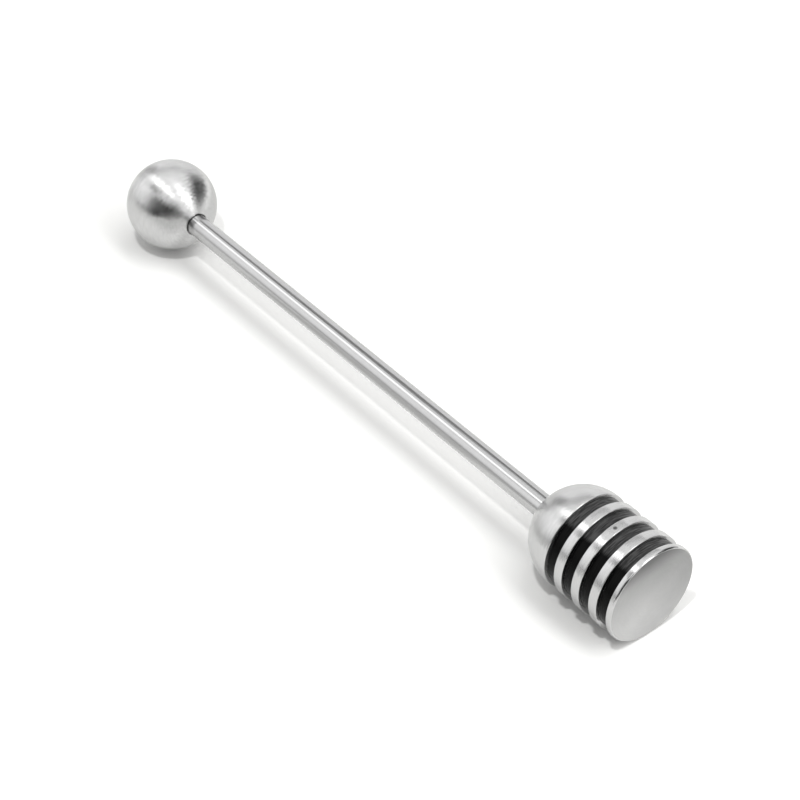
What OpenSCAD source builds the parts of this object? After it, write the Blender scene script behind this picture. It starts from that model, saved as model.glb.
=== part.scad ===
// Honey dipper: a ball knob, a straight rod, and a head stacked from steel discs and black rings.
// It lies along X on the ground plane, with the ball at -X and the flat end of the head at +X.
// The origin is under the middle of its length.

/* [Overall] */
// Length from the top of the ball to the flat end of the head
overall_l = 164; // [150:1:180]

/* [Ball knob] */
// Diameter of the ball
ball_d = 20; // [16:0.5:24]
// Diameter of the mouth of the hole that the rod enters
ball_mouth_d = 5.2; // [5.2:0.05:5.6]
// Depth of the mouth, from the ball's surface
ball_mouth_depth = 1.2; // [0.8:0.1:2]
// Depth of the rod's seat in the ball, from the ball's surface
ball_seat_depth = 6; // [4:0.5:8]
// Length of the thin spigot beyond the seat
spigot_l = 5; // [3:0.5:6]

/* [Rod] */
// Diameter of the rod
rod_d = 4.8; // [4.7:0.1:5]
// Diameter of the spigot in the ball and of the spindle through the head
spindle_d = 4; // [3:0.1:4]

/* [Head] */
// Diameter of the dome and the discs
head_d = 20.7; // [18:0.1:24]
// Length of the dome's straight rim
dome_rim_l = 0.55; // [0.4:0.05:2]
// Depth of the rod's seat in the dome, from the dome's top
dome_seat_depth = 6.5; // [4:0.5:9]
// Thickness of a steel disc
disc_t = 2.05; // [1.6:0.05:2.6]
// Thickness of a black ring
ring_t = 2.6; // [2.2:0.05:3.2]
// Depth of the step from a disc's edge down to a ring's surface
ring_step = 0.7; // [0.4:0.05:1.5]
// Thickness of the end disc
end_disc_t = 1.35; // [1.2:0.05:2.5]
// Radius of the end disc's front edge
end_edge_r = 0.5; // [0.2:0.05:0.6]
// Diameter of the hub behind the end disc
hub_d = 8; // [7:0.5:10]
// Length of the hub behind the end disc
hub_l = 2.2; // [1.5:0.1:2.2]

/* [Edges and fits] */
// Radius of the small broken edges on the dome and the discs
break_r = 0.15; // [0.1:0.05:0.3]
// Radius of the small rounded edges on the black rings
ring_edge_r = 0.2; // [0.1:0.05:0.3]
// Gap round the spindle in the bores of the stack
bore_gap = 0.05; // [0.02:0.01:0.1]

/* [Hidden] */
$fn = 96;

disc_count = 3;
ring_count = disc_count + 1;
pitch = ring_t + disc_t;
// Straight steps in a rounded corner
arc_steps = 6;
// Bevel at the tips and shoulders of the rod
lead_in = 0.3;
// Room left in front of a tip at the bottom of its hole
tip_gap = 0.3;
// How far a cut runs past the face that it opens
past = 1;

// Radii
ball_r = ball_d / 2;
head_r = head_d / 2;
rod_r = rod_d / 2;
spindle_r = spindle_d / 2;
bore_r = spindle_r + bore_gap;
seat_r = rod_r + bore_gap;
hub_r = hub_d / 2;
ring_r = head_r - ring_step;
// Height of the axis over the ground: the wider end rests on it
axis_h = max(head_r, ball_r);

// Places along the axis, measured from the top of the ball
dome_l = head_r + dome_rim_l;
head_l = dome_l + ring_count * ring_t + disc_count * disc_t + end_disc_t;
dome_at = overall_l - head_l;
stack_at = dome_at + dome_l;
end_at = overall_l - end_disc_t;
ball_face_at = ball_r + sqrt(pow(ball_r, 2) - pow(seat_r, 2));
seat_at = ball_face_at - ball_seat_depth;
mouth_at = ball_face_at - ball_mouth_depth;
spigot_at = seat_at - spigot_l;
shoulder_at = dome_at + dome_seat_depth;
spindle_end_at = end_at - tip_gap;

steel = [0.78, 0.78, 0.79];
bright_steel = [0.85, 0.85, 0.86];
black = [0.06, 0.06, 0.065];

// Lays a piece that was turned about Z along X, with the middle of the length over the origin
module lay() {
    translate([-overall_l / 2, 0, axis_h]) rotate([0, 90, 0]) children();
}

// Points of a rounded corner about the point c, from angle a0 to angle a1, or c alone if it is sharp
function corner(c, r, a0, a1) =
    r == 0 ? [c] : [for (i = [0:arc_steps]) c + r * arc_point(a0 + (a1 - a0) * i / arc_steps)];

function arc_point(a) = [cos(a), sin(a)];

// A flat ring about Z that starts at the height at; low and high are the radii of its outer edges
module washer(at, t, outer_r, inner_r, low, high) {
    rotate_extrude()
        polygon(concat(
            [[inner_r, at]],
            corner([outer_r - low, at + low], low, -90, 0),
            corner([outer_r - high, at + t - high], high, 0, 90),
            [[inner_r, at + t]]));
}

// A plain ball, drilled from the head's side in three steps
module ball_knob() {
    color(steel) lay() difference() {
        translate([0, 0, ball_r]) sphere(ball_r);
        translate([0, 0, spigot_at - tip_gap]) cylinder(r = bore_r, h = spigot_l + past);
        translate([0, 0, seat_at]) cylinder(r = seat_r, h = ball_seat_depth + past);
        translate([0, 0, mouth_at]) cylinder(d = ball_mouth_d, h = ball_mouth_depth + past);
    }
}

// One turned piece, from the spigot in the ball along the rod to the spindle through the head
module handle_rod() {
    color(bright_steel) lay() rotate_extrude()
        polygon([
            [0, spigot_at],
            [spindle_r - lead_in, spigot_at],
            [spindle_r, spigot_at + lead_in],
            [spindle_r, seat_at],
            [rod_r - lead_in, seat_at],
            [rod_r, seat_at + lead_in],
            [rod_r, shoulder_at - lead_in],
            [rod_r - lead_in, shoulder_at],
            [spindle_r, shoulder_at],
            [spindle_r, spindle_end_at - lead_in],
            [spindle_r - lead_in, spindle_end_at],
            [0, spindle_end_at]]);
}

// Half a ball with a short straight rim, drilled for the spindle and counterbored for the rod
module dome_cap() {
    color(steel) lay() difference() {
        union() {
            intersection() {
                translate([0, 0, dome_at + head_r]) sphere(head_r);
                translate([0, 0, dome_at]) cylinder(r = head_r + past, h = head_r);
            }
            washer(dome_at + head_r, dome_rim_l, head_r, bore_r, 0, break_r);
        }
        translate([0, 0, dome_at - past]) cylinder(r = seat_r, h = dome_seat_depth + past);
        translate([0, 0, dome_at]) cylinder(r = bore_r, h = dome_l + past);
    }
}

// The black ring with number i, counted from the dome; the last one fits round the end disc's hub
module spacer_ring(i) {
    at = stack_at + (i - 1) * pitch;
    inner_r = i == ring_count ? hub_r + bore_gap : bore_r;
    color(black) lay() washer(at, ring_t, ring_r, inner_r, ring_edge_r, ring_edge_r);
}

// The steel disc with number i, counted from the dome
module fin_disc(i) {
    at = stack_at + ring_t + (i - 1) * pitch;
    color(steel) lay() washer(at, disc_t, head_r, bore_r, break_r, break_r);
}

// The last disc, with its rounded front edge and the hub that takes the spindle's end
module end_disc() {
    color(steel) lay() difference() {
        union() {
            washer(end_at, end_disc_t, head_r, 0, break_r, end_edge_r);
            translate([0, 0, end_at - hub_l]) cylinder(r = hub_r, h = hub_l);
        }
        translate([0, 0, end_at - hub_l - past]) cylinder(r = bore_r, h = hub_l + past);
    }
}

ball_knob();
handle_rod();
dome_cap();
spacer_ring(1);  // spacer_ring_1
fin_disc(1);  // fin_disc_1
spacer_ring(2);  // spacer_ring_2
fin_disc(2);  // fin_disc_2
spacer_ring(3);  // spacer_ring_3
fin_disc(3);  // fin_disc_3
spacer_ring(4);  // spacer_ring_4
end_disc();
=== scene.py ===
"""The looks of the honey dipper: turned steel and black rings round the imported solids."""

import math

import bmesh
import bpy
from mathutils import Matrix, Vector


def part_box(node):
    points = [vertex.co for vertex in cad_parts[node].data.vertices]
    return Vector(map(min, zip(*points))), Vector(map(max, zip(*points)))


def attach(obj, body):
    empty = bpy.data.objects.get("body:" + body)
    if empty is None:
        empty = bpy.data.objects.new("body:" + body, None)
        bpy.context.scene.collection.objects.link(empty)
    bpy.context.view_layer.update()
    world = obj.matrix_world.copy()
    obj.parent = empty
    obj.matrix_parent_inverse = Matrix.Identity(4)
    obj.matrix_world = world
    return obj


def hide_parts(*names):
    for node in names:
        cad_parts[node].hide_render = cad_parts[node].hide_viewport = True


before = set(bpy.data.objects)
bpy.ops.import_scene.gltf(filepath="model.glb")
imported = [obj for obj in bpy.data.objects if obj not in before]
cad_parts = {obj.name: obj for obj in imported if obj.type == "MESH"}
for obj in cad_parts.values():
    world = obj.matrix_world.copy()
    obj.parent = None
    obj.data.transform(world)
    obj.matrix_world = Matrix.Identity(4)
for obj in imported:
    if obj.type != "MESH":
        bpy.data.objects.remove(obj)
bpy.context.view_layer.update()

MM = 0.001

# Camera: where it stands, the way it looks in degrees, its lens, and how near and far it sees
CAMERA_AT = Vector((0.2696, -0.2092, 0.2987))
AZIMUTH = 51.25
ELEVATION = 41.05
SENSOR = 36.0
LENS = 99.0
CAMERA_REACH = (0.01, 50)

# The pieces that come in numbers, counted from the dome
DISCS = (1, 2, 3)
RINGS = (1, 2, 3, 4)

# Small sizes that the frame's boxes don't give
MOUTH_R = 2.6 * MM
MOUTH_DEPTH = 1.2 * MM
ROD_R = 2.4 * MM
BORE_R = 2.05 * MM
SEAT_R = 2.45 * MM
SEAT_DEPTH_BALL = 6 * MM
SEAT_DEPTH_DOME = 6.5 * MM
SPINDLE_R = 2 * MM
BREAK_R = 0.15 * MM
RING_EDGE_R = 0.2 * MM
END_EDGE_R = 0.5 * MM
DOME_RIM = 0.55 * MM
HUB_R = 4 * MM
HUB_L = 2.2 * MM
HUB_BORE_R = HUB_R + 0.05 * MM
BEVEL = 0.3 * MM

# The broken edge of the ball's hole bends this far in along X and out from the axis, as shares of
# BREAK_R
LIP_IN = 0.4
LIP_OUT = 0.25

# How many faces go round the axis, and how many steps each arc takes
AROUND = 192
BALL_STEPS = 96
DOME_STEPS = 64
BACK_EDGE_STEPS = 5
FRONT_EDGE_STEPS = 8
END_EDGE_STEPS = 10

# A profile point with a smaller radius than this lies on the axis
ON_AXIS = 1e-7

# Edges that bend more than this, in degrees, stay sharp
SHARP_ANGLE = 35

# A face looks along the axis where its normal has a larger share along X than this
FLAT = 0.9

# Noise runs from 0 to 1, and varies about this middle
NOISE_MIDDLE = 0.5

# The least distance from the axis at which a direction round it is worked out
LEAST_R = 0.01 * MM

# In turns, how far the shine is turned from round the axis, so that it spreads across the marks
QUARTER_TURN = 0.25

# Finishes of the steel: its shade, how rough it is and how much more the shine spreads across the
# marks, how deep the marks are, how far they lean and how uneven their shade is. Haze is the
# (share, roughness, anisotropy) of a softer shine over the first
BALL_FINISH = dict(shade=0.64, roughness=0.24, anisotropy=1.0, hair=0.006 * MM, sway=0.36, grain=0.32)
DOME_FINISH = dict(shade=0.6, roughness=0.2, anisotropy=1.0, hair=0.004 * MM, sway=0.3, grain=0.15)
DISC_FINISH = dict(shade=0.6, roughness=0.2, anisotropy=1.0, hair=0.004 * MM, sway=0.2, grain=0.15)
FACE_FINISH = dict(shade=0.54, roughness=0.4, anisotropy=0.2, hair=0.001 * MM, sway=0.05, grain=0.08)
SIDE_FINISH = dict(shade=0.6, roughness=0.18, anisotropy=0.5, hair=0.001 * MM, sway=0.03, grain=0.05)
ROD_FINISH = dict(
    shade=0.54, roughness=0.1, anisotropy=0.3, hair=0.0005 * MM, sway=0.03, grain=0.05,
    haze=(0.35, 0.3, 1.0),
)

# How much the roughness of the steel varies
ROUGH_VARIES = 0.1

# Turning marks, each as their width, how often they change round the axis, and their noise's detail
# and roughness
FINE_MARKS = (0.2 * MM, 4.0, 3.0, 0.6)
BROAD_MARKS = (1.0 * MM, 2.5, 2.0, 0.5)
LEAN_MARKS = (0.09 * MM, 8.0, 1.0, 0.5)
RING_MARKS = (0.25 * MM, 3.0, 3.0, 0.6)

# Soft clouds in the shade of the steel: how many to a metre, their noise's detail and roughness, and
# how strong they are
CLOUD_SCALE = 260.0
CLOUD_DETAIL = 3.0
CLOUD_ROUGHNESS = 0.55
CLOUDS = 0.06

# Painted shade across the end face, each as a direction (y, z), then a low and a high distance
# along it with the shade at each: darker toward its upper edge, most at the edge itself, and toward
# its lower right
FACE_FADES = (
    (-0.1, 0.99, -9 * MM, 13 * MM, 1.0, 0.58),
    (-0.1, 0.99, 5 * MM, 11 * MM, 1, 0.45),
    (0.7, -0.7, -1 * MM, 7.5 * MM, 1, 0.88),
)

# The small dark spot on one disc: its middle, the radii of its core and its edge, and its shade
MARKED_DISC = 2
MARK = ((72.3 * MM, -1.08 * MM, 20.64 * MM), 0.22 * MM, 0.55 * MM, 0.25)

# Black rings: their shade, how deep the turning marks are, how rough they are and how much that varies
RING_SHADE = 0.002
RING_HAIR = 0.012 * MM
RING_ROUGHNESS = 0.27
RING_ROUGH_VARIES = 0.3

# Dust on the rings, with painted light on their upper side: the way (y, z) it lies, how
# squarely a spot has to face that way to have some and to have it all, which of the marks hold it,
# and its lowest and highest shade
DUST_AND_LIGHT_WAY = (0.26, 0.97)
DUST_AND_LIGHT_EDGE = (0.62, 0.72)
DUST_AND_LIGHT_MARKS = (0.35, 0.65)
DUST_AND_LIGHT_SHADES = (0.02, 0.07)

# Floor: its size, and how much blue it has for each part of red and green
FLOOR_SIZE = 12
WARM = 0.985

# Its shade to bounced light, which keeps the shadow, and to the camera and the metal
FLOOR_GREY = 0.5
FLOOR_WHITE = 1.0

# Its own glow, and the distances between which it turns pure white for the camera
FLOOR_GLOW = 0.02
FLOOR_FAR = (0.3, 0.8)

# Painted shade and light on the floor, which only the metal sees when it mirrors the floor: patches,
# each as the middle and half of its reach along X and along Y, then its soft edge and its shade
FLOOR_PATCHES = (
    (0.0, 6.0, -3.009, 3.0, 5 * MM, 0.85),
    (0.0, 6.0, 38 * MM, 28 * MM, 8 * MM, 0.78),
    (5 * MM, 40 * MM, 0.5 * MM, 5.5 * MM, 3 * MM, 1.25),
    (-16 * MM, 39 * MM, -50 * MM, 40 * MM, 6 * MM, 0.6),
    (-10 * MM, 110 * MM, -150 * MM, 55 * MM, 15 * MM, 0.5),
)

# A ray has no diffuse bounce behind it where it counts fewer than this
NO_BOUNCE = 0.5

# Sky: the light that it gives, and its shade to the metal and to the camera
SKY_LIGHT = 0.46
SKY_LEVEL = 1.15
SKY_WHITE = 1.0

# Patches of the sky that the metal mirrors, each as the azimuth of its middle, half its width, its
# lowest and highest elevation and its soft edge, all in degrees, then its shade
SKY = (
    (218, 24, 18, 52, 7, 1.4),
    (254, 29, -20, 8, 7, 0.6),
    (175, 11, 2, 42, 5, 0.4),
    (304, 46, -10, 37, 6, 0.02),
    (279, 19, 20, 47, 5, 0.1),
    (70, 34, 2, 41, 8, 0.04),
    (20, 11, 27, 64, 4, 4.0),
)

# Ceiling: patches overhead, each as the middle and half of its reach along X and along Y, for a
# height of 1, then its soft edge and its shade
CEILING = (
    (-0.89, 0.17, 0.76, 0.54, 0.05, 0.02),
    (-0.38, 0.32, -0.66, 0.18, 0.05, 0.1),
    (-0.26, 0.8, -0.3, 0.07, 0.04, 3.4),
    (-0.87, 0.24, -0.29, 0.17, 0.03, 2.1),
)

# The ceiling ends where a direction rises less than this
LOWEST = 0.02

# Lamps, each as its name, where it stands for a height of 1, its distance, its length and width,
# and its part of the white on the floor
LAMPS = (
    ("lamp_over", (0.22, -0.33), 0.9, (0.06, 0.06), 0.26),
    ("lamp_side", (0.62, 0.28), 1.2, (2.5, 0.5), 0.68),
)


def span(node):
    """Where a node starts and ends along X, and its radius."""
    low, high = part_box(node)
    return low.x, high.x, (high.z - low.z) / 2


AXIS_Z = sum(corner.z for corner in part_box("dome_cap")) / 2


def arc(centre, radius, start, end, steps):
    """Points (along, radius) of an arc about centre, from angle start to end in degrees."""
    points = []
    for i in range(steps + 1):
        a = math.radians(start + (end - start) * i / steps)
        points.append((centre[0] + radius * math.cos(a), centre[1] + radius * math.sin(a)))
    return points


def circle(bm, along, radius):
    """The corners at one profile point: one on the axis, or as many as go round it."""
    if radius < ON_AXIS:
        return [bm.verts.new((along, 0, AXIS_Z))]
    corners = []
    for i in range(AROUND):
        a = 2 * math.pi * i / AROUND
        corners.append(bm.verts.new((along, radius * math.cos(a), AXIS_Z + radius * math.sin(a))))
    return corners


def lathe(name, profile):
    """A closed mesh turned about the dipper's axis; profile is a loop of (along, radius) points."""
    bm = bmesh.new()
    circles = [circle(bm, along, radius) for along, radius in profile]
    pairs = list(zip(circles, circles[1:]))
    if len(circles[0]) > 1 and len(circles[-1]) > 1:
        pairs.append((circles[-1], circles[0]))
    for one, two in pairs:
        for i in range(AROUND):
            j = (i + 1) % AROUND
            corners = [one[i % len(one)], one[j % len(one)], two[j % len(two)], two[i % len(two)]]
            # Beside the axis, a face has three corners
            corners = list(dict.fromkeys(corners))
            if len(corners) > 2:
                bm.faces.new(corners)
    bmesh.ops.recalc_face_normals(bm, faces=bm.faces)
    mesh = bpy.data.meshes.new(name)
    bm.to_mesh(mesh)
    bm.free()
    mesh.shade_smooth()
    mesh.set_sharp_from_angle(angle=math.radians(SHARP_ANGLE))
    return mesh


def turned(name, profile, nodes, slot, *materials):
    """A turned piece in the place of nodes. Its faces that look along the axis take the second
    material, where there is one."""
    mesh = lathe(name, profile)
    for material in materials:
        mesh.materials.append(material)
    if len(materials) > 1:
        for face in mesh.polygons:
            face.material_index = int(abs(face.normal.x) > FLAT)
    piece = bpy.data.objects.new(name, mesh)
    bpy.context.scene.collection.objects.link(piece)
    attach(piece, "root")
    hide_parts(*nodes)


class Graph:
    """A node tree, with a short call for each kind of node used here."""

    def __init__(self, tree):
        self.tree = tree
        tree.nodes.clear()

    def node(self, kind, inputs=(), **settings):
        """Adds a node; inputs gives a value or a socket for a socket's name or number."""
        made = self.tree.nodes.new(kind)
        for key, value in settings.items():
            setattr(made, key, value)
        for key, value in dict(inputs).items():
            if isinstance(value, bpy.types.NodeSocket):
                self.tree.links.new(value, made.inputs[key])
            else:
                made.inputs[key].default_value = value
        return made

    def math(self, operation, *values):
        return self.node("ShaderNodeMath", enumerate(values), operation=operation).outputs[0]

    def vector(self, operation, inputs, output="Vector"):
        return self.node("ShaderNodeVectorMath", inputs, operation=operation).outputs[output]

    def smooth(self, value, low, high, start=0.0, end=1.0):
        """start below low, end above high, and a smooth step between."""
        inputs = {"Value": value, "From Min": low, "From Max": high, "To Min": start, "To Max": end}
        made = self.node("ShaderNodeMapRange", inputs, interpolation_type="SMOOTHSTEP")
        return made.outputs["Result"]

    def mix(self, factor, one, two):
        """A blend of two numbers."""
        made = self.node("ShaderNodeMix", {"Factor": factor, "A": one, "B": two}, data_type="FLOAT")
        return made.outputs["Result"]

    def toward(self, x, y, way):
        """How far (x, y) reaches along the direction way."""
        return self.math("ADD", self.math("MULTIPLY", x, way[0]), self.math("MULTIPLY", y, way[1]))

    def grey(self, value, warm=1.0):
        """A grey, or a little warmer than that where warm is below 1."""
        blue = self.math("MULTIPLY", value, warm)
        made = self.node("ShaderNodeCombineColor", {"Red": value, "Green": value, "Blue": blue})
        return made.outputs["Color"]

    def noise(self, vector, scale, detail, roughness):
        inputs = {"Vector": vector, "Scale": scale, "Detail": detail, "Roughness": roughness}
        return self.node("ShaderNodeTexNoise", inputs).outputs["Fac"]

    def vary(self, value, noise, amount):
        """A value that noise raises and lowers, by half the amount at most."""
        off = self.math("SUBTRACT", noise, NOISE_MIDDLE)
        return self.math("MULTIPLY_ADD", off, amount, value)

    def bump(self, height, distance):
        inputs = {"Height": height, "Strength": 1.0, "Distance": distance}
        return self.node("ShaderNodeBump", inputs).outputs[0]

    def round_axis(self):
        """The direction round the dipper's axis, for the spread of the shine."""
        return self.node("ShaderNodeTangent", direction_type="RADIAL", axis="X").outputs[0]

    def turning(self, centre_x):
        """Where a point is about the axis: along it from centre_x, out from it, and the y and z of
        its direction."""
        place = self.node("ShaderNodeTexCoord").outputs["Object"]
        xyz = self.node("ShaderNodeSeparateXYZ", {0: place}).outputs
        x = self.math("SUBTRACT", xyz["X"], centre_x)
        y = xyz["Y"]
        z = self.math("SUBTRACT", xyz["Z"], AXIS_Z)
        squares = self.math("ADD", self.math("MULTIPLY", y, y), self.math("MULTIPLY", z, z))
        r = self.math("MAXIMUM", self.math("SQRT", squares), LEAST_R)
        return x, r, self.math("DIVIDE", y, r), self.math("DIVIDE", z, r)

    def marks(self, along, c, s, kind):
        """Turning marks of one kind, as FINE_MARKS gives it."""
        width, rounds, detail, roughness = kind
        place = self.node("ShaderNodeCombineXYZ", {
            "X": self.math("MULTIPLY", along, 1 / width),
            "Y": self.math("MULTIPLY", c, rounds),
            "Z": self.math("MULTIPLY", s, rounds),
        }).outputs[0]
        return self.noise(place, 1.0, detail, roughness)


def marked_normal(g, c, s, height, hair, lean, sway):
    """The normal of a surface with turning marks. Each mark leans a little round the axis, which
    frays the edges of the highlights."""
    around = g.node("ShaderNodeCombineXYZ", {"Y": g.math("MULTIPLY", s, -1), "Z": c}).outputs[0]
    shift = g.vector("SCALE", {0: around, "Scale": g.vary(0.0, lean, sway)})
    return g.vector("NORMALIZE", {0: g.vector("ADD", {0: g.bump(height, hair), 1: shift})})


def metal(g, shade, normal, broad, roughness, anisotropy):
    """A metal shader, whose roughness varies with the broad marks."""
    return g.node("ShaderNodeBsdfPrincipled", {
        "Base Color": g.grey(shade),
        "Metallic": 1.0,
        "Roughness": g.vary(roughness, broad, ROUGH_VARIES),
        "Anisotropic": anisotropy,
        "Anisotropic Rotation": QUARTER_TURN,
        "Normal": normal,
        "Tangent": g.round_axis(),
    }).outputs[0]


def steel(name, shade, roughness, anisotropy, hair, sway, grain, haze=None,
          centre_x=0.0, ball=0, fades=(), mark=None):
    """Turned steel with one of the finishes. ball is the radius of a round surface about centre_x,
    or 0. fades paint shade on it as FACE_FADES says, and mark puts a dark spot on it, as MARK says."""
    material = bpy.data.materials.new(name)
    material.use_nodes = True
    g = Graph(material.node_tree)
    x, r, c, s = g.turning(centre_x)
    along = g.math("MULTIPLY", g.math("ARCTAN2", r, x), ball) if ball else g.math("ADD", x, r)
    fine = g.marks(along, c, s, FINE_MARKS)
    broad = g.marks(along, c, s, BROAD_MARKS)
    lean = g.marks(along, c, s, LEAN_MARKS)
    place = g.node("ShaderNodeTexCoord").outputs["Object"]
    cloud = g.noise(place, CLOUD_SCALE, CLOUD_DETAIL, CLOUD_ROUGHNESS)
    shade = g.vary(g.vary(shade, cloud, CLOUDS), fine, grain)
    # Painted shade: each fade darkens the colour in a band across the surface
    for side, up, low, high, start, end in fades:
        distance = g.math("MULTIPLY", g.toward(c, s, (side, up)), r)
        shade = g.math("MULTIPLY", shade, g.smooth(distance, low, high, start, end))
    if mark:
        middle, core_r, edge_r, dark = mark
        away = g.vector("DISTANCE", {0: place, 1: middle}, "Value")
        shade = g.math("MULTIPLY", shade, g.smooth(away, core_r, edge_r, dark, 1))
    height = g.math("ADD", fine, broad)
    normal = marked_normal(g, c, s, height, hair, lean, sway)
    surface = metal(g, shade, normal, broad, roughness, anisotropy)
    if haze:
        share, roughness, anisotropy = haze
        soft = metal(g, shade, normal, broad, roughness, anisotropy)
        surface = g.node("ShaderNodeMixShader", {0: share, 1: surface, 2: soft}).outputs[0]
    g.node("ShaderNodeOutputMaterial", {"Surface": surface})
    return material


def black(name):
    """Satin black plastic with turning marks, a little dusty, and with painted light on its upper
    side.
    """
    material = bpy.data.materials.new(name)
    material.use_nodes = True
    g = Graph(material.node_tree)
    x, r, c, s = g.turning(0.0)
    fine = g.marks(g.math("ADD", x, r), c, s, RING_MARKS)
    # Dust and painted light: the base colour is lighter where the ring faces up
    upward = g.smooth(g.toward(c, s, DUST_AND_LIGHT_WAY), *DUST_AND_LIGHT_EDGE)
    dust_and_light = g.math("MULTIPLY", upward, g.smooth(fine, *DUST_AND_LIGHT_MARKS, *DUST_AND_LIGHT_SHADES))
    shader = g.node("ShaderNodeBsdfPrincipled", {
        "Base Color": g.grey(g.math("ADD", dust_and_light, RING_SHADE)),
        "Roughness": g.vary(RING_ROUGHNESS, fine, RING_ROUGH_VARIES),
        "Specular IOR Level": 0.06,
        "Sheen Weight": 0.35,
        "Sheen Roughness": 0.25,
        "Anisotropic": 0.6,
        "Anisotropic Rotation": QUARTER_TURN,
        "Normal": g.bump(fine, RING_HAIR),
        "Tangent": g.round_axis(),
    })
    g.node("ShaderNodeOutputMaterial", {"Surface": shader.outputs[0]})
    return material


def ball_places():
    """Along X, the ball's centre, the face where the rod enters it and the end of the rod's seat."""
    start, _, radius = span("ball_knob")
    centre = start + radius
    face = centre + math.sqrt(radius ** 2 - SEAT_R ** 2)
    return centre, face, face - SEAT_DEPTH_BALL


def dome_places():
    """Along X, where the dome's round back would start without its hole, and the end of the seat
    of the rod's shoulder."""
    _, end, radius = span("dome_cap")
    top = end - DOME_RIM - radius
    return top, top + SEAT_DEPTH_DOME


def make_ball(material):
    radius = span("ball_knob")[2]
    centre, face, seat = ball_places()
    mouth_angle = math.degrees(math.asin((MOUTH_R + BREAK_R) / radius))
    lip = centre + math.sqrt(radius ** 2 - MOUTH_R ** 2)
    profile = arc((centre, 0), radius, 180, mouth_angle, BALL_STEPS)
    profile += [(lip - BREAK_R * LIP_IN, MOUTH_R + BREAK_R * LIP_OUT), (lip - BREAK_R, MOUTH_R)]
    profile += [(face - MOUTH_DEPTH, MOUTH_R), (face - MOUTH_DEPTH, SEAT_R)]
    profile += [(seat, SEAT_R), (seat, 0)]
    turned("ball", profile, ["ball_knob"], "satin_steel", material)


def make_rod(material):
    start, end, _ = span("handle_rod")
    seat = ball_places()[2]
    shoulder = dome_places()[1]
    profile = [
        (start, 0),
        (start, SPINDLE_R - BEVEL),
        (start + BEVEL, SPINDLE_R),
        (seat, SPINDLE_R),
        (seat, ROD_R - BEVEL),
        (seat + BEVEL, ROD_R),
        (shoulder - BEVEL, ROD_R),
        (shoulder, ROD_R - BEVEL),
        (shoulder, SPINDLE_R),
        (end - BEVEL, SPINDLE_R),
        (end, SPINDLE_R - BEVEL),
        (end, 0),
    ]
    turned("rod", profile, ["handle_rod"], "polished_steel", material)


def make_dome(material):
    _, end, radius = span("dome_cap")
    top, seat = dome_places()
    hole_angle = math.degrees(math.asin(SEAT_R / radius))
    profile = arc((top + radius, 0), radius, 180 - hole_angle, 90, DOME_STEPS)
    profile += arc((end - BREAK_R, radius - BREAK_R), BREAK_R, 90, 0, BACK_EDGE_STEPS)
    profile += [(end, BORE_R), (seat, BORE_R), (seat, SEAT_R)]
    turned("dome", profile, ["dome_cap"], "satin_steel", material)


def washer(node, edge_r, inner_r):
    """The profile of a flat ring in a node's place, with its two outer edges rounded."""
    start, end, radius = span(node)
    profile = [(start, inner_r)]
    profile += arc((start + edge_r, radius - edge_r), edge_r, 180, 90, BACK_EDGE_STEPS)
    profile += arc((end - edge_r, radius - edge_r), edge_r, 90, 0, FRONT_EDGE_STEPS)
    return profile + [(end, inner_r)]


def make_disc(i, rim, side):
    node = f"fin_disc_{i}"
    turned(f"disc_{i}", washer(node, BREAK_R, BORE_R), [node], "satin_steel", rim, side)


def make_ring(i, material):
    """One of the black rings. The last one fits round the end disc's hub, the others the spindle."""
    node = f"spacer_ring_{i}"
    inner = HUB_BORE_R if i == RINGS[-1] else BORE_R
    turned(f"ring_{i}", washer(node, RING_EDGE_R, inner), [node], "black_ring", material)


def make_end(rim, face):
    hub_start, end, radius = span("end_disc")
    start = hub_start + HUB_L
    profile = [(start, 0), (start, BORE_R), (hub_start, BORE_R), (hub_start, HUB_R), (start, HUB_R)]
    profile += arc((start + BREAK_R, radius - BREAK_R), BREAK_R, 180, 90, BACK_EDGE_STEPS)
    profile += arc((end - END_EDGE_R, radius - END_EDGE_R), END_EDGE_R, 90, 0, END_EDGE_STEPS)
    profile += [(end, 0)]
    turned("end_plate", profile, ["end_disc"], "satin_steel", rim, face)


def make_camera():
    a = math.radians(AZIMUTH)
    e = math.radians(ELEVATION)
    back = Vector((math.sin(a) * math.cos(e), -math.cos(a) * math.cos(e), math.sin(e)))
    data = bpy.data.cameras.new("camera")
    data.sensor_width = SENSOR
    data.lens = LENS
    data.clip_start, data.clip_end = CAMERA_REACH
    camera = bpy.data.objects.new("camera", data)
    camera.location = CAMERA_AT
    camera.rotation_mode = "QUATERNION"
    camera.rotation_quaternion = (-back).to_track_quat("-Z", "Y")
    bpy.context.scene.collection.objects.link(camera)
    bpy.context.scene.camera = camera


def patch(g, x, y, reach, soft):
    """1 inside a patch of the plane (x, y) and 0 outside. reach gives its middle and half its reach
    along x, then the same along y."""
    along, half_along, across, half_across = reach
    x = g.math("ABSOLUTE", g.math("SUBTRACT", x, along))
    y = g.math("ABSOLUTE", g.math("SUBTRACT", y, across))
    inside = g.smooth(x, half_along - soft, half_along + soft, 1, 0)
    return g.math("MULTIPLY", inside, g.smooth(y, half_across - soft, half_across + soft, 1, 0))


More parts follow.
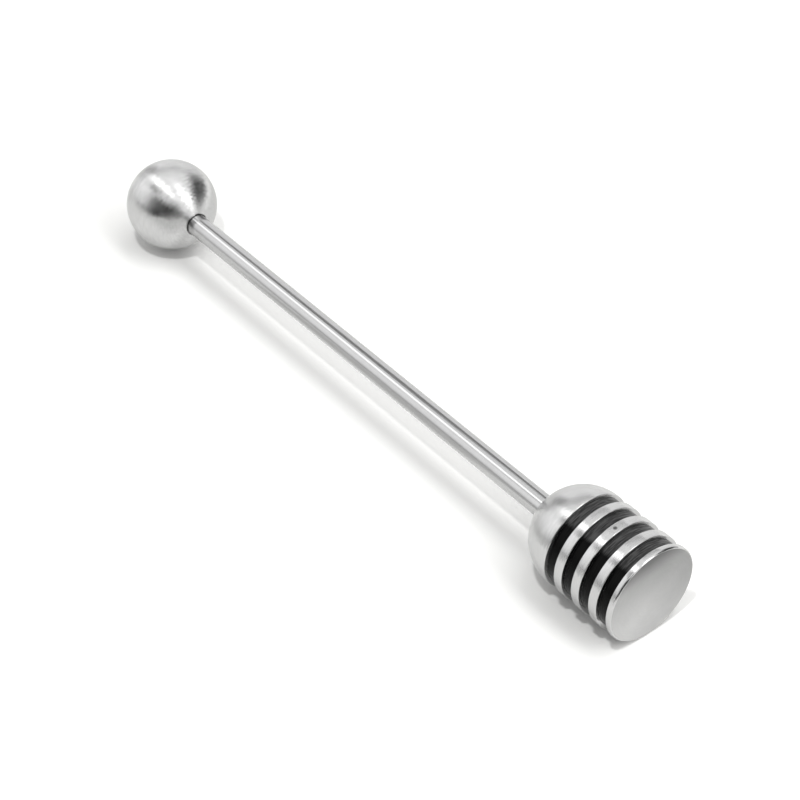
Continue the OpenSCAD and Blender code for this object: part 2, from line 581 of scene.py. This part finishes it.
def make_floor():
    bpy.ops.mesh.primitive_plane_add(size=FLOOR_SIZE)
    floor = bpy.context.object
    floor.name = "floor"
    material = bpy.data.materials.new("floor")
    material.use_nodes = True
    g = Graph(material.node_tree)
    path = g.node("ShaderNodeLightPath").outputs
    mirror = g.math("MAXIMUM", path["Is Glossy Ray"], path["Is Transmission Ray"])
    seen = g.math("MAXIMUM", path["Is Camera Ray"], mirror)
    seen = g.math("MULTIPLY", seen, g.math("LESS_THAN", path["Diffuse Depth"], NO_BOUNCE))
    place = g.node("ShaderNodeTexCoord").outputs["Object"]
    xyz = g.node("ShaderNodeSeparateXYZ", {0: place}).outputs
    mirrored = FLOOR_WHITE
    # Painted shade and light on the floor, seen only by glossy rays
    for *reach, soft, shade in FLOOR_PATCHES:
        mirrored = g.mix(patch(g, xyz["X"], xyz["Y"], reach, soft), mirrored, shade)
    white = g.mix(path["Is Glossy Ray"], FLOOR_WHITE, mirrored)
    colour = g.grey(g.mix(seen, FLOOR_GREY, white), WARM)
    diffuse = g.node("ShaderNodeBsdfDiffuse", {"Color": colour}).outputs[0]
    far = g.smooth(g.vector("LENGTH", {0: place}, "Value"), *FLOOR_FAR)
    near_glow = g.math("MULTIPLY", seen, FLOOR_GLOW)
    strength = g.math("MULTIPLY_ADD", far, path["Is Camera Ray"], near_glow)
    glow = g.node("ShaderNodeEmission", {"Color": (1, 1, 1, 1), "Strength": strength}).outputs[0]
    both = g.node("ShaderNodeAddShader", {0: diffuse, 1: glow}).outputs[0]
    g.node("ShaderNodeOutputMaterial", {"Surface": both})
    floor.data.materials.append(material)


def make_lamp(name, way, distance, size, share):
    """A rectangular lamp over the dipper, as LAMPS gives it, with its length along X. The metal
    mirrors the sky's patches instead of it."""
    at = Vector((way[0], way[1], 1)).normalized() * distance
    data = bpy.data.lights.new(name, "AREA")
    data.shape = "RECTANGLE"
    data.size, data.size_y = size
    # With this power, a white floor at the origin gets the shade share
    upright = at.z / distance
    data.energy = share * math.pi * math.pi * distance ** 2 / upright
    lamp = bpy.data.objects.new(name, data)
    lamp.location = at
    lamp.rotation_mode = "QUATERNION"
    out = at.normalized()
    along = (Vector((1, 0, 0)) - out * out.x).normalized()
    lamp.rotation_quaternion = Matrix((along, out.cross(along), out)).transposed().to_quaternion()
    lamp.visible_glossy = False
    bpy.context.scene.collection.objects.link(lamp)


def window(g, x, y, z, reach, soft):
    """1 inside a patch of the sky and 0 outside, for the direction (x, y, z). reach gives the
    azimuth of its middle from +X, half its width, and its lowest and highest elevation."""
    middle, half, low, high = reach
    rad = math.radians
    c = math.cos(rad(middle))
    s = math.sin(rad(middle))
    ahead = g.toward(x, y, (c, s))
    side = g.toward(x, y, (-s, c))
    turn = g.math("ABSOLUTE", g.math("ARCTAN2", side, ahead))
    height = g.math("ARCSINE", z)
    inside = g.smooth(turn, rad(half - soft), rad(half + soft), 1, 0)
    inside = g.math("MULTIPLY", inside, g.smooth(height, rad(low - soft), rad(low + soft), 0, 1))
    return g.math("MULTIPLY", inside, g.smooth(height, rad(high - soft), rad(high + soft), 1, 0))


def make_world():
    world = bpy.data.worlds.new("studio")
    bpy.context.scene.world = world
    world.use_nodes = True
    g = Graph(world.node_tree)
    way = g.node("ShaderNodeTexCoord").outputs["Generated"]
    xyz = g.node("ShaderNodeSeparateXYZ", {0: way}).outputs
    x, y, z = (xyz[axis] for axis in "XYZ")
    level = SKY_LEVEL
    for *reach, soft, shade in SKY:
        level = g.mix(window(g, x, y, z, reach, soft), level, shade)
    height = g.math("MAXIMUM", z, LOWEST)
    above = g.math("GREATER_THAN", z, LOWEST)
    u = g.math("DIVIDE", x, height)
    v = g.math("DIVIDE", y, height)
    for *reach, soft, shade in CEILING:
        inside = g.math("MULTIPLY", patch(g, u, v, reach, soft), above)
        level = g.mix(inside, level, shade)
    path = g.node("ShaderNodeLightPath").outputs
    level = g.mix(path["Is Diffuse Ray"], level, SKY_LIGHT)
    level = g.mix(path["Is Camera Ray"], level, SKY_WHITE)
    background = g.node("ShaderNodeBackground", {"Color": g.grey(level), "Strength": 1.0})
    g.node("ShaderNodeOutputWorld", {"Surface": background.outputs[0]})


def main():
    bpy.context.scene.view_settings.view_transform = "Standard"
    ball_r = span("ball_knob")[2]
    _, dome_end, dome_r = span("dome_cap")
    ball_steel = steel("ball_steel", centre_x=ball_places()[0], ball=ball_r, **BALL_FINISH)
    dome_steel = steel("dome_steel", centre_x=dome_end - DOME_RIM, ball=dome_r, **DOME_FINISH)
    disc_steel = steel("disc_steel", **DISC_FINISH)
    face_steel = steel("face_steel", fades=FACE_FADES, **FACE_FINISH)
    marked_steel = steel("marked_steel", mark=MARK, **DISC_FINISH)
    side_steel = steel("side_steel", **SIDE_FINISH)
    rod_steel = steel("rod_steel", **ROD_FINISH)
    ring_black = black("ring_black")
    make_ball(ball_steel)
    make_rod(rod_steel)
    make_dome(dome_steel)
    for i in DISCS:
        make_disc(i, marked_steel if i == MARKED_DISC else disc_steel, side_steel)
    for i in RINGS:
        make_ring(i, ring_black)
    make_end(disc_steel, face_steel)
    make_camera()
    make_floor()
    for lamp in LAMPS:
        make_lamp(*lamp)
    make_world()


main()
